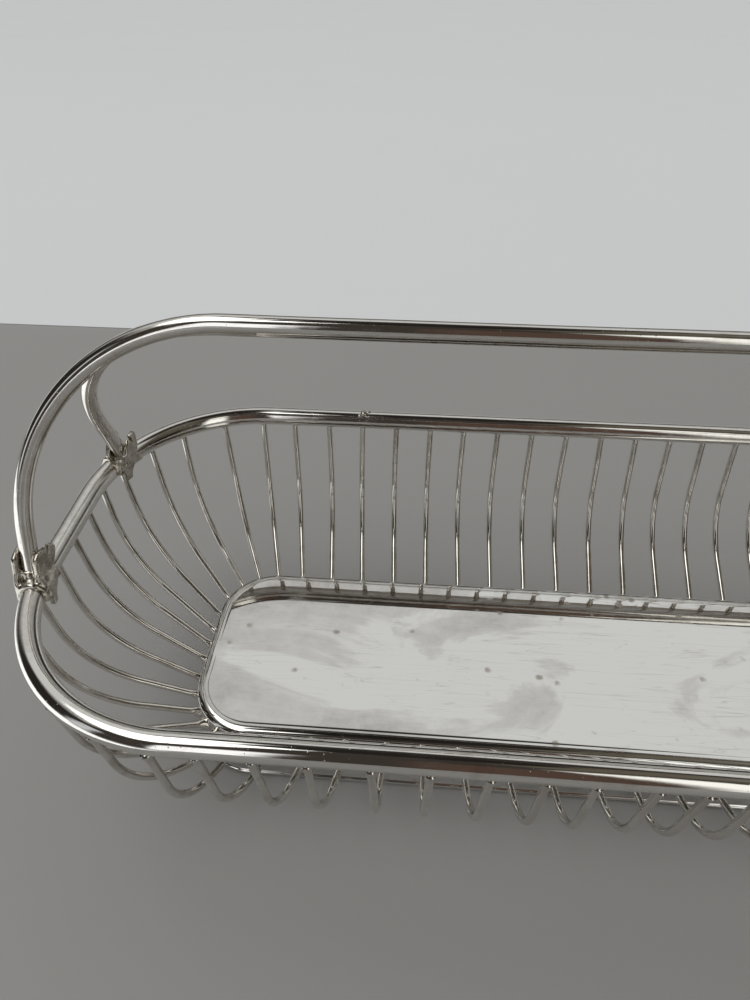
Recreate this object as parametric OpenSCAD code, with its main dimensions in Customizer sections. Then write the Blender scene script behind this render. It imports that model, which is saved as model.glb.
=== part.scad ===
// Long wire basket used as a letter tray: a closed rim tube, a raised
// plated base pan, rows of bent side wires and a double hoop carry handle.
// Units are millimetres. X runs along the length, Y towards the back, Z up.
// The origin is the middle of the footprint, on the surface it stands on.

/* [Rim] */
// half the length of the rim, to the tube centre line
rim_half_l = 172; // [120:0.5:220]
// half the width of the rim, to the tube centre line
rim_half_w = 63.5; // [45:0.5:90]
// corner radius of the rim centre line
rim_corner_r = 47.5; // [30:0.5:60]
// height of the rim tube centre above the table
rim_z = 64; // [40:0.5:90]
// diameter of the rim tube
rim_d = 6; // [3:0.1:10]
// how far the closing joint of the rim is from the middle, to the left
seam_x = 93; // [20:1:120]

/* [Base pan] */
// half the length of the pan top, just short of its outer edge
base_half_l = 135.8; // [90:0.2:180]
// half the width of the pan top, just short of its outer edge
base_half_w = 30.2; // [20:0.2:50]
// corner radius of the pan top, just short of its outer edge
base_corner_r = 16.5; // [8:0.5:28]
// height of the pan top over the table
base_h = 18.5; // [10:0.2:30]
// sheet thickness of the pan
sheet_t = 0.9; // [0.5:0.1:2]
// radius of the rounded top edge of the pan
edge_r = 3; // [1:0.2:4]
// outward flare of the side wall from the rounded edge to the foot
wall_flare = 1.5; // [0:0.1:4]
// radius of the rolled edge the pan stands on
hem_r = 0.9; // [0.5:0.05:1.5]

/* [Side wires] */
// diameter of the side wires
rib_d = 2; // [1:0.1:3]
// spacing of the wires along the straight sides
rib_pitch = 11.5; // [8:0.1:20]
// wires on each long side, an odd number
side_ribs = 23; // [9:2:31]
// wires fanned round each end, an odd number
end_ribs = 13; // [7:2:21]
// height at which the wires meet the wall of the pan
foot_z = 13.6; // [6:0.1:17]
// slope of the wires where they leave the pan, in degrees
foot_slope = 28; // [10:1:45]
// bend radius of the wires
rib_bend_r = 28; // [8:0.2:30]
// angle below the horizontal at which the wires meet the rim
rib_seat = 60; // [30:1:90]

/* [Carry handle] */
// diameter of the two handle hoops
hoop_d = 4.5; // [3:0.1:8]
// length of the hoops in their own plane, above the rim
hoop_rise = 69.8; // [40:0.2:110]
// half length of the straight grip of the front hoop
front_grip = 118; // [70:0.5:160]
// distance of the front hoop feet from the middle, to the front
front_foot_y = 21; // [5:0.5:30]
// lean of the front hoop from the vertical, in degrees
front_tilt = 18.4; // [0:0.1:35]
// shoulder radius of the front hoop
front_bend_r = 54.5; // [25:0.5:60]
// half length of the straight grip of the back hoop
back_grip = 120; // [70:0.5:160]
// distance of the back hoop feet from the middle, to the back
back_foot_y = 33.4; // [5:0.2:45]
// lean of the back hoop from the vertical, in degrees
back_tilt = 24.1; // [0:0.1:35]
// shoulder radius of the back hoop
back_bend_r = 46; // [25:0.5:60]

/* [Cast ties] */
// height of a tie over the rim centre line, along the hoop leg
tie_h = 11; // [9:0.5:20]
// length of a tie along the rim
tie_l = 13; // [8:0.5:20]
// thickness of the ears beside the tubes
ear_t = 1.5; // [0.8:0.1:3]
// how far the ends of a tie flare out
tie_flare = 1.6; // [0:0.1:3]
// how far the lower ears reach below the rim centre line
ear_drop = 2.2; // [0:0.1:2.5]
// width of the slot between the upper ears
slot_w = 3.6; // [2:0.1:4.2]
// solid metal left between the rim and the end of a hoop leg
tie_web = 2.2; // [1:0.1:4]

/* [Hidden] */
$fn = 64;
rim_r = rim_d / 2;
rib_r = rib_d / 2;
hoop_r = hoop_d / 2;
// height at which a hoop leg ends, over the rim centre line
leg_foot = tie_web + rim_r;
// corner centres of rim and pan
rim_cx = rim_half_l - rim_corner_r;
rim_cy = rim_half_w - rim_corner_r;
base_cx = base_half_l - base_corner_r;
base_cy = base_half_w - base_corner_r;
// outer face of the pan wall, measured from the corner centre
wall_top_r = base_corner_r + 2.1;
wall_foot_r = wall_top_r + wall_flare;
wall_top_z = base_h - edge_r;
// radius at which the wires meet the wall
foot_r = wall_top_r + wall_flare * (wall_top_z - foot_z) / wall_top_z;
// the seat of the wires on the rim tube
seat_r = rim_corner_r + rim_r * cos(rib_seat);
seat_z = rim_z - rim_r * sin(rib_seat);
side_half = (side_ribs - 1) / 2;
// path lengths round one end, from the last side wire at the back
// to the last side wire at the front
fan_x = side_half * rib_pitch;
rim_lead = fan_x - rim_cx;
rim_arc = PI / 2 * rim_corner_r;
rim_run = 2 * (rim_arc - rim_lead) + 2 * rim_cy;
foot_fan_x = base_cx + 1.9;
base_lead = foot_fan_x - base_cx;
base_arc = PI / 2 * foot_r;
base_run = 2 * (base_arc - base_lead) + 2 * base_cy;
front_foot_x = front_grip + front_bend_r;
back_foot_x = back_grip + back_bend_r;
// the wires turn through the larger angle of a 3-4-5 triangle
bend_turn = acos(0.6);
top_slope = foot_slope + bend_turn;
steel = [0.78, 0.77, 0.74];
mirror_c = [0.86, 0.86, 0.84];
cast_c = [0.55, 0.52, 0.47];

// ---------- shared shapes ----------

// a profile carried round a rounded rectangle; x of the profile is the
// distance from the corner centres, y of the profile is the height
module sweep_round(cx, cy) {
  for (s = [0, 180]) rotate([0, 0, s]) {
    translate([cx, 0, 0]) rotate([90, 0, 0])
      linear_extrude(height = 2 * cy, center = true) children();
    translate([0, cy, 0]) rotate([90, 0, 90])
      linear_extrude(height = 2 * cx, center = true) children();
    translate([cx, cy, 0]) rotate_extrude(angle = 90) children();
    translate([cx, -cy, 0]) rotate([0, 0, -90]) rotate_extrude(angle = 90) children();
  }
}

// a flat plate with the outline of a rounded rectangle
module round_plate(cx, cy, r, t) {
  translate([0, 0, t / 2]) cube([2 * cx, 2 * (cy + r), t], center = true);
  translate([0, 0, t / 2]) cube([2 * (cx + r), 2 * cy, t], center = true);
  for (x = [-cx, cx], y = [-cy, cy]) translate([x, y, 0]) cylinder(r = r, h = t);
}

// the rim tube as a closed loop
module rim_loop() {
  sweep_round(rim_cx, rim_cy) translate([rim_corner_r, rim_z]) circle(r = rim_r);
}

// one handle hoop, lying in its own upright plane
module hoop_flat(grip, bend_r) {
  translate([-grip, 0, hoop_rise]) rotate([0, 90, 0]) cylinder(r = hoop_r, h = 2 * grip);
  for (m = [0, 1]) mirror([m, 0, 0]) {
    translate([grip, 0, hoop_rise - bend_r]) rotate([90, 0, 0])
      rotate_extrude(angle = 90) translate([bend_r, 0]) circle(r = hoop_r);
    translate([grip + bend_r, 0, leg_foot])
      cylinder(r = hoop_r, h = hoop_rise - bend_r - leg_foot);
  }
}

module hoop_front_body() {
  translate([0, -front_foot_y, rim_z]) rotate([-front_tilt, 0, 0])
    hoop_flat(front_grip, front_bend_r);
}

module hoop_back_body() {
  translate([0, back_foot_y, rim_z]) rotate([back_tilt, 0, 0])
    hoop_flat(back_grip, back_bend_r);
}

// half-round saddle that lies over the rim, flared at both ends
module tie_saddle() {
  waist = tie_l / 2 - 3.4;
  rotate([90, 0, 0]) {
    cylinder(r = rim_r + ear_t, h = 2 * waist, center = true);
    for (m = [0, 1]) mirror([0, 0, m]) translate([0, 0, waist])
      cylinder(r1 = rim_r + ear_t, r2 = rim_r + ear_t + tie_flare / 2, h = tie_l / 2 - waist);
  }
}

// socket that holds the end of a hoop leg, flared at the mouth
module tie_socket() {
  neck = tie_h * 0.46;
  cylinder(r = hoop_r + ear_t, h = neck);
  translate([0, 0, neck])
    cylinder(r1 = hoop_r + ear_t, r2 = hoop_r + ear_t + tie_flare, h = tie_h - neck);
}

// room for the leg, the open slot between the ears and the flared mouth
module tie_bore() {
  translate([0, 0, leg_foot]) cylinder(r = hoop_r, h = tie_h);
  translate([-slot_w / 2, -tie_l, leg_foot]) cube([slot_w, 2 * tie_l, tie_h]);
  translate([0, 0, tie_h - 4]) cylinder(r1 = hoop_r, r2 = hoop_r + tie_flare + 0.4, h = 4.2);
}

// a tie in its place on the left end, at distance foot_y from the middle
module tie_at(foot_x, foot_y, tilt) {
  over = abs(foot_y) - rim_cy;
  turn = over > 0 ? asin(over / rim_corner_r) : 0;
  at_x = over > 0 ? rim_cx + rim_corner_r * cos(turn) : rim_half_l;
  difference() {
    union() {
      translate([-at_x, foot_y, rim_z]) rotate([0, 0, foot_y > 0 ? -turn : turn]) tie_saddle();
      translate([-foot_x, foot_y, rim_z]) rotate([tilt, 0, 0]) tie_socket();
    }
    rim_loop();
    translate([-foot_x, foot_y, rim_z]) rotate([tilt, 0, 0]) tie_bore();
    translate([-at_x - 10, foot_y - tie_l, rim_z - ear_drop - 8]) cube([20, 2 * tie_l, 8]);
  }
}

// ---------- side wires ----------

// one wire from the pan wall out to the rim, in the X-Z plane with the
// pan end at x = 0; span is the plan distance from wall to rim seat
module rib_wire(span) {
  rise = seat_z - foot_z;
  det = cos(foot_slope) * sin(top_slope) - cos(top_slope) * sin(foot_slope);
  a = (span * sin(top_slope) - cos(top_slope) * rise) / det;
  b = (cos(foot_slope) * rise - span * sin(foot_slope)) / det;
  cut = rib_bend_r * tan(bend_turn / 2);
  lead = 0.8;
  s_x = (a - cut) * cos(foot_slope);
  s_z = foot_z + (a - cut) * sin(foot_slope);
  translate([s_x - rib_bend_r * sin(foot_slope), 0, s_z + rib_bend_r * cos(foot_slope)])
    rotate([90, 0, 0]) rotate([0, 0, foot_slope - 90]) {
      rotate_extrude(angle = bend_turn)
        translate([rib_bend_r, 0]) circle(r = rib_r);
      translate([rib_bend_r, 0, 0]) rotate([90, 0, 0])
        cylinder(r = rib_r, h = a - cut + lead);
      rotate([0, 0, bend_turn]) translate([rib_bend_r, 0, 0])
        rotate([-90, 0, 0]) cylinder(r = rib_r, h = b - cut + 0.6);
    }
}

// a wire between two plan points, from the pan wall to the rim
module rib_between(foot, seat) {
  d = seat - foot;
  translate([foot[0], foot[1], 0]) rotate([0, 0, atan2(d[1], d[0])]) rib_wire(norm(d));
}

// plan point at distance s round the left end, starting on the back side
function end_point(cx, cy, r, s) =
  let (arc = PI / 2 * r, flat = 2 * cy, a = s * 180 / PI / r,
       b = (s - arc - flat) * 180 / PI / r)
  s < 0 ? [-cx - s, cy + r] :
  s < arc ? [-cx - r * sin(a), cy + r * cos(a)] :
  s < arc + flat ? [-cx - r, cy - (s - arc)] :
  s < 2 * arc + flat ? [-cx - r * cos(b), -cy - r * sin(b)] :
  [-cx + s - 2 * arc - flat, -cy - r];

// seat and foot of fan wire k, k = 1 at the back corner
function fan_seat(k) =
  let (s = rim_lead + k * rim_run / (end_ribs + 1))
  end_point(rim_cx, rim_cy, seat_r, s * seat_r / rim_corner_r
    + (s > rim_arc ? (1 - seat_r / rim_corner_r) * min(s - rim_arc, 2 * rim_cy) : 0));
function fan_foot(k) =
  end_point(base_cx, base_cy, foot_r, base_lead + k * base_run / (end_ribs + 1));

// what the wires butt against: the rim tube and the inside of the pan
module rib_stops() {
  rim_loop();
  pan_solid();
}

// wires k0 to k1 of the back side, k = 0 in the middle
module side_group(k0, k1) {
  difference() {
    for (k = [k0 : k1])
      rib_between([k * (rib_pitch - 0.35 * pow(abs(k) / side_half, 6)), base_cy + foot_r],
                  [k * rib_pitch, rim_cy + seat_r]);
    rib_stops();
  }
}

// wires k0 to k1 of the fan round the left end
module fan_group(k0, k1) {
  difference() {
    for (k = [k0 : k1]) rib_between(fan_foot(k), fan_seat(k));
    rib_stops();
  }
}

// ---------- base pan ----------

// section of the rounded edge, with a strip of the flat top inside it
module edge_section() {
  translate([wall_top_r - edge_r, wall_top_z]) intersection() {
    difference() {
      circle(r = edge_r);
      circle(r = edge_r - sheet_t);
    }
    square(edge_r);
  }
  translate([wall_top_r - edge_r - 4, base_h - sheet_t]) square([4, sheet_t]);
}

// section of the thin flared wall and the rolled foot edge
module wall_section() {
  polygon([
    [wall_top_r - sheet_t, wall_top_z], [wall_top_r, wall_top_z],
    [wall_foot_r, hem_r], [wall_foot_r - sheet_t, hem_r]
  ]);
  difference() {
    translate([wall_foot_r - sheet_t / 2, hem_r - 0.15]) circle(r = hem_r);
    translate([wall_foot_r - 3, -2]) square([6, 2]);
  }
}

// filled body of the pan, as a limit for the wires
module pan_solid() {
  sweep_round(base_cx, base_cy) polygon([
    [wall_top_r - 4, wall_top_z], [wall_top_r, wall_top_z],
    [wall_foot_r, hem_r], [wall_foot_r - 6, hem_r]
  ]);
}

// ---------- sub-parts ----------

module rim_tube() color(steel) rim_loop();

module rim_seam_solder() color(cast_c) difference() {
  union() {
    translate([-seam_x, rim_half_w - 0.4, rim_z + rim_r - 0.3]) sphere(r = 1.1);
    translate([-seam_x + 1.3, rim_half_w + 0.5, rim_z + rim_r - 0.3]) sphere(r = 0.8);
  }
  rim_loop();
}

module front_hoop() color(steel) hoop_front_body();
module back_hoop() color(steel) hoop_back_body();

module tie_front_left() color(cast_c) tie_at(front_foot_x, -front_foot_y, -front_tilt);
module tie_back_left() color(cast_c) tie_at(back_foot_x, back_foot_y, back_tilt);
module tie_front_right() color(cast_c) mirror([1, 0, 0])
  tie_at(front_foot_x, -front_foot_y, -front_tilt);
module tie_back_right() color(cast_c) mirror([1, 0, 0])
  tie_at(back_foot_x, back_foot_y, back_tilt);

module pan_top() color(mirror_c) {
  sweep_round(base_cx, base_cy) edge_section();
  translate([0, 0, base_h - sheet_t])
    round_plate(base_cx, base_cy, wall_top_r - edge_r - 2, sheet_t);
}

module pan_wall() color(mirror_c) sweep_round(base_cx, base_cy) wall_section();

module back_ribs_1() color(steel) side_group(-11, -7);
module back_ribs_2() color(steel) side_group(-6, -3);
module back_ribs_3() color(steel) side_group(-2, 2);
module back_ribs_4() color(steel) side_group(3, 6);
module back_ribs_5() color(steel) side_group(7, 11);
module front_ribs_1() color(steel) mirror([0, 1, 0]) side_group(-11, -7);
module front_ribs_2() color(steel) mirror([0, 1, 0]) side_group(-6, -3);
module front_ribs_3() color(steel) mirror([0, 1, 0]) side_group(-2, 2);
module front_ribs_4() color(steel) mirror([0, 1, 0]) side_group(3, 6);
module front_ribs_5() color(steel) mirror([0, 1, 0]) side_group(7, 11);

module left_back_corner_ribs() color(steel) fan_group(1, 4);
module left_end_ribs() color(steel) fan_group(5, 9);
module left_front_corner_ribs() color(steel) fan_group(10, 13);
module right_back_corner_ribs() color(steel) mirror([1, 0, 0]) fan_group(1, 4);
module right_end_ribs() color(steel) mirror([1, 0, 0]) fan_group(5, 9);
module right_front_corner_ribs() color(steel) mirror([1, 0, 0]) fan_group(10, 13);

// ---------- drawing ----------
rim_tube();
rim_seam_solder();
front_hoop();
back_hoop();
tie_front_left();
tie_back_left();
tie_front_right();
tie_back_right();
pan_top();
pan_wall();
front_ribs_1();
front_ribs_2();
front_ribs_3();
front_ribs_4();
front_ribs_5();
back_ribs_1();
back_ribs_2();
back_ribs_3();
back_ribs_4();
back_ribs_5();
left_back_corner_ribs();
left_end_ribs();
left_front_corner_ribs();
right_back_corner_ribs();
right_end_ribs();
right_front_corner_ribs();
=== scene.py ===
"""Silver-plated wire letter tray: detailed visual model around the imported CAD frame."""

import math

import bpy
import numpy as np
from mathutils import Matrix, Vector


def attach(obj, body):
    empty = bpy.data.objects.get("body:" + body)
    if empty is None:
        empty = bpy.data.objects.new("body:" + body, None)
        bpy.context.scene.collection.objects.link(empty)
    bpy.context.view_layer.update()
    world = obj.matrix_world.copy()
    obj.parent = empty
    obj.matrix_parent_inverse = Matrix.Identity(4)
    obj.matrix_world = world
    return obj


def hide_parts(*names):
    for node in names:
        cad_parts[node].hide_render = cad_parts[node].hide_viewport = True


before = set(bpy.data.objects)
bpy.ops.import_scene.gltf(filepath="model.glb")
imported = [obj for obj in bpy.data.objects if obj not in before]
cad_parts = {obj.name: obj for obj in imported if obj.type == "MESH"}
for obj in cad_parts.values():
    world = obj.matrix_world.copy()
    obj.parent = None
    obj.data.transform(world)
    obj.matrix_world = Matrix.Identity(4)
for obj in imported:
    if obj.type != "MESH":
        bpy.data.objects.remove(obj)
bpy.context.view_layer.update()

MM = 0.001

# ---------------------------------------------------------------- sizes, mm
RIM_HALF_L, RIM_HALF_W, RIM_CORNER, RIM_Z, RIM_R = 172.0, 63.5, 47.5, 64.0, 3.0
BASE_HALF_L, BASE_HALF_W, BASE_CORNER, BASE_H = 135.8, 30.2, 16.5, 18.5
SHEET, EDGE, FLARE, HEM = 0.9, 3.0, 1.5, 0.9
CROWN, EDGE_FALL = 0.3, 2.1  # rise of the pan top, height of its rounded edge
CREASE_DEPTH = 0.045
RIB_R, RIB_PITCH, RIB_BEND, FOOT_Z = 1.0, 11.5, 28.0, 13.6
FAN_BEND = 36.0
RIB_TUCK = 0.9  # length of a wire hidden inside the pan wall and inside the rim
FOOT_SLOPE = math.radians(28)
BEND_TURN = math.acos(0.6)
TOP_SLOPE = FOOT_SLOPE + BEND_TURN
SEAT_ANGLE = math.radians(60)
SIDE_HALF, END_RIBS = 11, 13
HOOP_R, HOOP_RISE, LEG_FOOT = 2.25, 69.8, 5.2
HOOPS = {
    "front": dict(grip=118.0, bend=54.5, y=-21.0, tilt=-18.4),
    "back": dict(grip=120.0, bend=46.0, y=33.4, tilt=24.1),
}
SEAM_X = -93.0

RIM_CX, RIM_CY = RIM_HALF_L - RIM_CORNER, RIM_HALF_W - RIM_CORNER
BASE_CX, BASE_CY = BASE_HALF_L - BASE_CORNER, BASE_HALF_W - BASE_CORNER
WALL_TOP = BASE_CORNER + 2.1
WALL_FOOT = WALL_TOP + FLARE
WALL_TOP_Z = BASE_H - EDGE
FOOT_R = WALL_TOP + FLARE * (WALL_TOP_Z - FOOT_Z) / WALL_TOP_Z
SEAT_R = RIM_CORNER + RIM_R * math.cos(SEAT_ANGLE)
SEAT_Z = RIM_Z - RIM_R * math.sin(SEAT_ANGLE)


# ---------------------------------------------------------------- noise
class Field:
    """Smooth random field over 3-D points, from a seeded lattice."""

    def __init__(self, seed, n=32):
        self.n = n
        self.v = np.random.RandomState(seed).rand(n, n, n) * 2 - 1

    def __call__(self, p):
        p = np.asarray(p, float)
        i = np.floor(p).astype(int)
        f = p - i
        f = f * f * (3 - 2 * f)
        out = 0.0
        for dx in (0, 1):
            for dy in (0, 1):
                for dz in (0, 1):
                    w = (
                        (f[..., 0] if dx else 1 - f[..., 0])
                        * (f[..., 1] if dy else 1 - f[..., 1])
                        * (f[..., 2] if dz else 1 - f[..., 2])
                    )
                    out = out + w * self.v[
                        (i[..., 0] + dx) % self.n,
                        (i[..., 1] + dy) % self.n,
                        (i[..., 2] + dz) % self.n,
                    ]
        return out


FIELD = Field(7)


# ---------------------------------------------------------------- mesh tools
DOME_LEVELS = ((0.75, 0.5), (0.35, 0.9))  # (width, height) of the rows of a domed end


class Build:
    """Collects vertices (mm), faces and UVs (metres) of one object."""

    def __init__(self):
        self.v, self.f, self.tri, self.uv = [], [], [], []
        self.count = 0

    def grid(self, rings, us, vs, wrap_rings=False, wrap_sides=True):
        """rings: (n, m, 3) points; us: n or n+1 values, vs: m+1 values."""
        n, m = rings.shape[:2]
        base = self.count
        self.v.append(rings.reshape(-1, 3))
        self.count += n * m
        rows = n if wrap_rings else n - 1
        cols = m if wrap_sides else m - 1
        i, j = np.meshgrid(np.arange(rows), np.arange(cols), indexing="ij")
        i2, j2 = (i + 1) % n, (j + 1) % m
        quads = np.stack([i * m + j, i * m + j2, i2 * m + j2, i2 * m + j], -1)
        self.f.append((base + quads).reshape(-1, 4))
        us, vs = np.asarray(us, float), np.asarray(vs, float)
        uv = np.stack(
            [
                np.stack([us[i], vs[j]], -1),
                np.stack([us[i], vs[j + 1]], -1),
                np.stack([us[i + 1], vs[j + 1]], -1),
                np.stack([us[i + 1], vs[j]], -1),
            ],
            2,
        )
        self.uv.append(uv.reshape(-1, 4, 2))

    def fan(self, rows, centre, flip, u_end, v_end):
        """Rows of points that shrink towards a centre point, closed with triangles."""
        rings = np.stack(rows)
        if flip:
            rings = rings[:, ::-1]
        m = rings.shape[1]
        self.grid(rings, np.linspace(0, u_end, len(rows)), np.linspace(0, v_end, m + 1))
        base = self.count
        self.v.append(np.asarray(centre)[None])
        self.count += 1
        j = np.arange(m)
        self.tri.append(np.stack([base - m + j, base - m + (j + 1) % m, np.full(m, base)], -1))

    def cap(self, ring, flip, dome, axis):
        """Closes a ring of points with a small domed end."""
        c = ring.mean(0)
        rows = [ring] + [c + (ring - c) * s + axis * dome * h for s, h in DOME_LEVELS]
        self.fan(rows, c + axis * dome, flip, 0.001, 0.006)

    def finish(self, name):
        """Makes the mesh object, smooth shaded, with its UV layer."""
        verts = np.concatenate(self.v) * MM
        quads = np.concatenate(self.f)
        tris = np.concatenate(self.tri) if self.tri else np.zeros((0, 3), int)
        mesh = bpy.data.meshes.new(name)
        mesh.vertices.add(len(verts))
        mesh.vertices.foreach_set("co", verts.astype(np.float32).ravel())
        loops = np.concatenate([quads.ravel(), tris.ravel()])
        mesh.loops.add(len(loops))
        mesh.loops.foreach_set("vertex_index", loops.astype(np.int32))
        starts = np.concatenate(
            [np.arange(len(quads)) * 4, len(quads) * 4 + np.arange(len(tris)) * 3]
        )
        mesh.polygons.add(len(starts))
        mesh.polygons.foreach_set("loop_start", starts.astype(np.int32))
        mesh.update(calc_edges=True)
        mesh.validate(clean_customdata=False)
        layer = mesh.uv_layers.new(name="along")
        uv = np.zeros((len(mesh.loops), 2), np.float32)
        flat = np.concatenate(self.uv).reshape(-1, 2)
        uv[: len(flat)] = flat
        layer.data.foreach_set("uv", uv.ravel())
        mesh.polygons.foreach_set("use_smooth", [True] * len(mesh.polygons))
        obj = bpy.data.objects.new(name, mesh)
        bpy.context.scene.collection.objects.link(obj)
        return obj


END_DOME = 0.4  # height of the domed end of a tube, mm


def unit(v):
    return v / np.maximum(np.linalg.norm(v, axis=-1, keepdims=True), 1e-12)


def path_frames(pts, closed, ref):
    """Tangent, side and up vectors along a path, side kept close to ref x tangent."""
    if closed:
        t = unit(np.roll(pts, -1, 0) - np.roll(pts, 1, 0))
    else:
        t = unit(np.gradient(pts, axis=0))
    up = np.broadcast_to(np.asarray(ref, float), t.shape)
    up = unit(up - t * (up * t).sum(-1, keepdims=True))
    side = np.cross(t, up)
    return t, side, up


def tube(build, pts, radius, sides, closed=False, ref=(0, 0, 1), bumps=0.0, seed=0.0):
    """Sweeps a round section of given radius (number or per-point) along pts."""
    pts = np.asarray(pts, float)
    n = len(pts)
    t, side, up = path_frames(pts, closed, ref)
    r = np.broadcast_to(np.asarray(radius, float), (n,))
    th = np.arange(sides) * 2 * math.pi / sides
    dirs = (
        side[:, None] * np.cos(th)[None, :, None] + up[:, None] * np.sin(th)[None, :, None]
    )
    rr = np.broadcast_to(r[:, None], (n, sides))
    if bumps:
        rr = rr + bumps * FIELD((pts[:, None] + dirs * r[:, None, None]) * 0.45 + seed)
    rings = pts[:, None] + dirs * rr[..., None]
    step = np.linalg.norm(np.diff(pts, axis=0), axis=1)
    s = np.concatenate([[0], np.cumsum(step)])
    if closed:
        s = np.append(s, s[-1] + np.linalg.norm(pts[0] - pts[-1]))
    vs = np.linspace(0, 2 * math.pi * float(r.mean()), sides + 1)
    build.grid(rings, s * MM, vs * MM, wrap_rings=closed)
    if not closed:
        build.cap(rings[0], True, END_DOME, -t[0])
        build.cap(rings[-1], False, END_DOME, t[-1])


def round_outline(cx, cy, r, arc, nx, ny):
    """Closed outline of a rounded rectangle, clockwise from the back end of the back
    right corner: arc points to a corner, nx or ny points to a side."""
    out = []
    corners = [(cx, cy, 90), (cx, -cy, 0), (-cx, -cy, -90), (-cx, cy, 180)]
    for k, (x, y, start) in enumerate(corners):
        for i in range(arc):
            a = math.radians(start - 90 * i / arc)
            out.append((x + r * math.cos(a), y + r * math.sin(a)))
        a = math.radians(start - 90)
        x0, y0 = x + r * math.cos(a), y + r * math.sin(a)
        x_next, y_next, start_next = corners[(k + 1) % 4]
        b = math.radians(start_next)
        x1, y1 = x_next + r * math.cos(b), y_next + r * math.sin(b)
        n = ny if k % 2 == 0 else nx
        for i in range(n):
            out.append((x0 + (x1 - x0) * i / n, y0 + (y1 - y0) * i / n))
    return np.array(out)


def soft(x, lo, hi):
    t = np.clip((x - lo) / (hi - lo), 0, 1)
    return t * t * (3 - 2 * t)


# ---------------------------------------------------------------- materials
class Nodes:
    """Small helper that adds and links shader nodes."""

    def __init__(self, name):
        self.m = bpy.data.materials.new(name)
        self.m.use_nodes = True
        self.t = self.m.node_tree
        self.t.nodes.clear()
        self.out = self.add("ShaderNodeOutputMaterial")
        self.bsdf = self.add("ShaderNodeBsdfPrincipled")
        self.link(self.bsdf.outputs[0], self.out.inputs[0])
        self.coord = self.add("ShaderNodeTexCoord")

    def add(self, kind, **props):
        n = self.t.nodes.new(kind)
        for k, v in props.items():
            setattr(n, k, v)
        return n

    def link(self, a, b):
        self.t.links.new(a, b)

    def space(self, source="Object", scale=(1, 1, 1), rotate=(0, 0, 0), shift=(0, 0, 0)):
        n = self.add("ShaderNodeMapping")
        n.inputs["Scale"].default_value = scale
        n.inputs["Rotation"].default_value = rotate
        n.inputs["Location"].default_value = shift
        self.link(self.coord.outputs[source], n.inputs["Vector"])
        return n.outputs[0]

    def noise(self, vec, scale, detail=4.0, rough=0.55, distort=0.0):
        n = self.add("ShaderNodeTexNoise")
        n.inputs["Scale"].default_value = scale
        n.inputs["Detail"].default_value = detail
        n.inputs["Roughness"].default_value = rough
        n.inputs["Distortion"].default_value = distort
        self.link(vec, n.inputs["Vector"])
        return n.outputs[0]

    def voronoi(self, vec, scale):
        n = self.add("ShaderNodeTexVoronoi")
        n.inputs["Scale"].default_value = scale
        self.link(vec, n.inputs["Vector"])
        return n.outputs["Distance"]

    def ramp(self, fac, *stops):
        """stops are (position, grey or colour)."""
        n = self.add("ShaderNodeValToRGB")
        el = n.color_ramp.elements
        while len(el) < len(stops):
            el.new(0.5)
        for e, (pos, c) in zip(el, stops):
            e.position = pos
            e.color = (c, c, c, 1) if isinstance(c, (int, float)) else (*c, 1)
        self.link(fac, n.inputs[0])
        return n.outputs[0]

    def remap(self, fac, lo, hi, a, b):
        n = self.add("ShaderNodeMapRange")
        for k, v in zip(("From Min", "From Max", "To Min", "To Max"), (lo, hi, a, b)):
            n.inputs[k].default_value = v
        self.link(fac, n.inputs["Value"])
        return n.outputs[0]

    def math(self, op, a, b=None, clamp=False):
        n = self.add("ShaderNodeMath", operation=op, use_clamp=clamp)
        for k, v in enumerate((a, b)):
            if v is None:
                continue
            if isinstance(v, (int, float)):
                n.inputs[k].default_value = v
            else:
                self.link(v, n.inputs[k])
        return n.outputs[0]

    def mix(self, fac, a, b):
        n = self.add("ShaderNodeMix", data_type="RGBA")
        for key, v in ((0, fac), (6, a), (7, b)):
            if isinstance(v, (int, float)):
                n.inputs[key].default_value = v
            elif isinstance(v, tuple):
                n.inputs[key].default_value = (*v, 1)
            else:
                self.link(v, n.inputs[key])
        return n.outputs[2]

    def bump(self, height, strength, distance, normal=None):
        n = self.add("ShaderNodeBump")
        n.inputs["Strength"].default_value = strength
        n.inputs["Distance"].default_value = distance
        self.link(height, n.inputs["Height"])
        if normal is not None:
            self.link(normal, n.inputs["Normal"])
        return n.outputs[0]

    def done(self, colour, rough, normal, metallic=1.0):
        self.link(colour, self.bsdf.inputs["Base Color"])
        self.link(rough, self.bsdf.inputs["Roughness"])
        if normal is not None:
            self.link(normal, self.bsdf.inputs["Normal"])
        self.bsdf.inputs["Metallic"].default_value = metallic
        return self.m


def scratches(n, source, angle, along, across, seed, width=0.012, sparse=0.56):
    """Fine parallel-ish scratch lines: a mask from 0 to 1."""
    shift = (seed, seed * 0.7, 0)
    vec = n.space(source, scale=(along, across, across), rotate=(0, 0, angle), shift=shift)
    line = n.noise(vec, 1.0, detail=1.0, rough=0.4, distort=0.15)
    near = n.math("ABSOLUTE", n.math("SUBTRACT", line, 0.5))
    mask = n.ramp(near, (0.0, 1.0), (width, 0.0))
    where = n.noise(n.space(source, scale=(1, 1, 1), shift=(seed * 3, 0, seed)), 38.0, detail=2.0)
    return n.math("MULTIPLY", mask, n.ramp(where, (sparse - 0.06, 0.0), (sparse + 0.05, 1.0)))


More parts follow.
